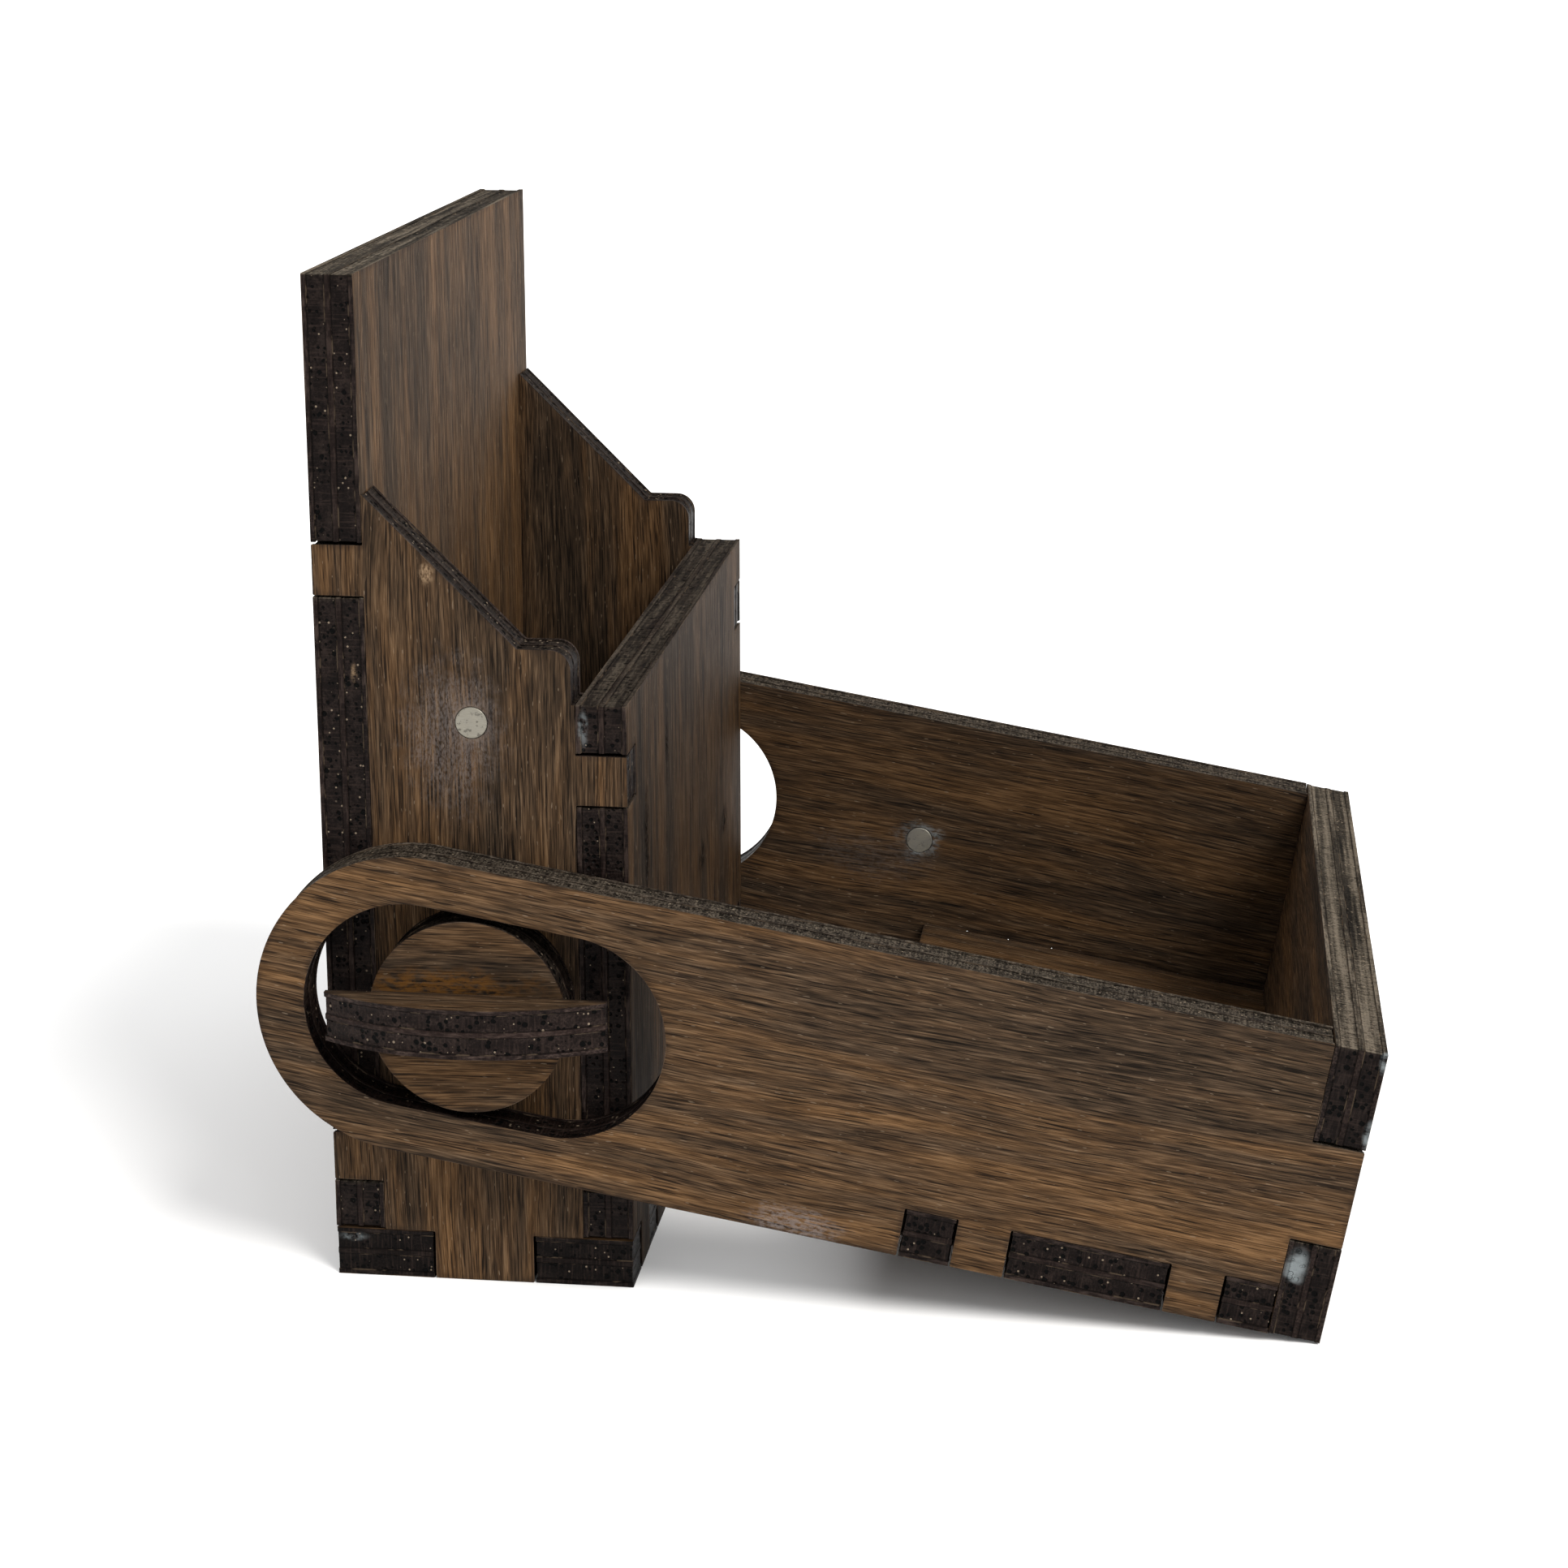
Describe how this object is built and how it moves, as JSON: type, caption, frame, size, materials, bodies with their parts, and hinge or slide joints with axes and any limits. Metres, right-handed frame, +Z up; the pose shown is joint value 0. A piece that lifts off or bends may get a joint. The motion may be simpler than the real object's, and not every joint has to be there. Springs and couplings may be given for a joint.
{
  "type": "playing card deck case",
  "caption": "Stained plywood case for a boxed deck of cards: an upright box, and a slotted tray cover that turns and slides on two pivot discs to close over it.",
  "frame": {"origin": "centre of the box's base, on the table, below the pivot axis", "axes": "+X from the box towards the tray's far end, +Y to the far side along the pivot axis, +Z up"},
  "size_m": [0.1043, 0.0974, 0.0965],
  "materials": {
    "stained_ply_box": "oil-stained veneer, satin, with dark laser-cut edges",
    "stained_ply_tray": "oil-stained veneer, satin, with dark laser-cut edges",
    "stained_ply_pivot": "oil-stained veneer, satin, with dark laser-cut edges",
    "nickel_magnet": "nickel plate, satin"
  },
  "bodies": {
    "box": {"box_back_panel": "stained_ply_box", "box_front_panel": "stained_ply_box", "box_side_near": "stained_ply_box", "box_side_far": "stained_ply_box", "box_bottom_panel": "stained_ply_box", "box_magnet_near": "nickel_magnet", "box_magnet_far": "nickel_magnet", "pivot_bar_near": "stained_ply_pivot", "pivot_bar_far": "stained_ply_pivot"},
    "pivots": {"pivot_disc_near": "stained_ply_pivot", "pivot_disc_far": "stained_ply_pivot"},
    "tray": {"tray_side_near": "stained_ply_tray", "tray_side_far": "stained_ply_tray", "tray_bottom_panel": "stained_ply_tray", "tray_end_panel": "stained_ply_tray", "tray_magnet_near": "nickel_magnet", "tray_magnet_far": "nickel_magnet"}
  },
  "joints": [
    {"name": "tray_swing", "type": "hinge", "parent": "box", "child": "pivots", "pos_m": [0, 0, 0.0285], "axis": [0, -1, 0], "range_deg": [0, 99.8]},
    {"name": "tray_slide", "type": "slide", "parent": "pivots", "child": "tray", "axis": [0.9854, 0, -0.1702], "range_m": [-0.0089, 0.0057]}
  ]
}
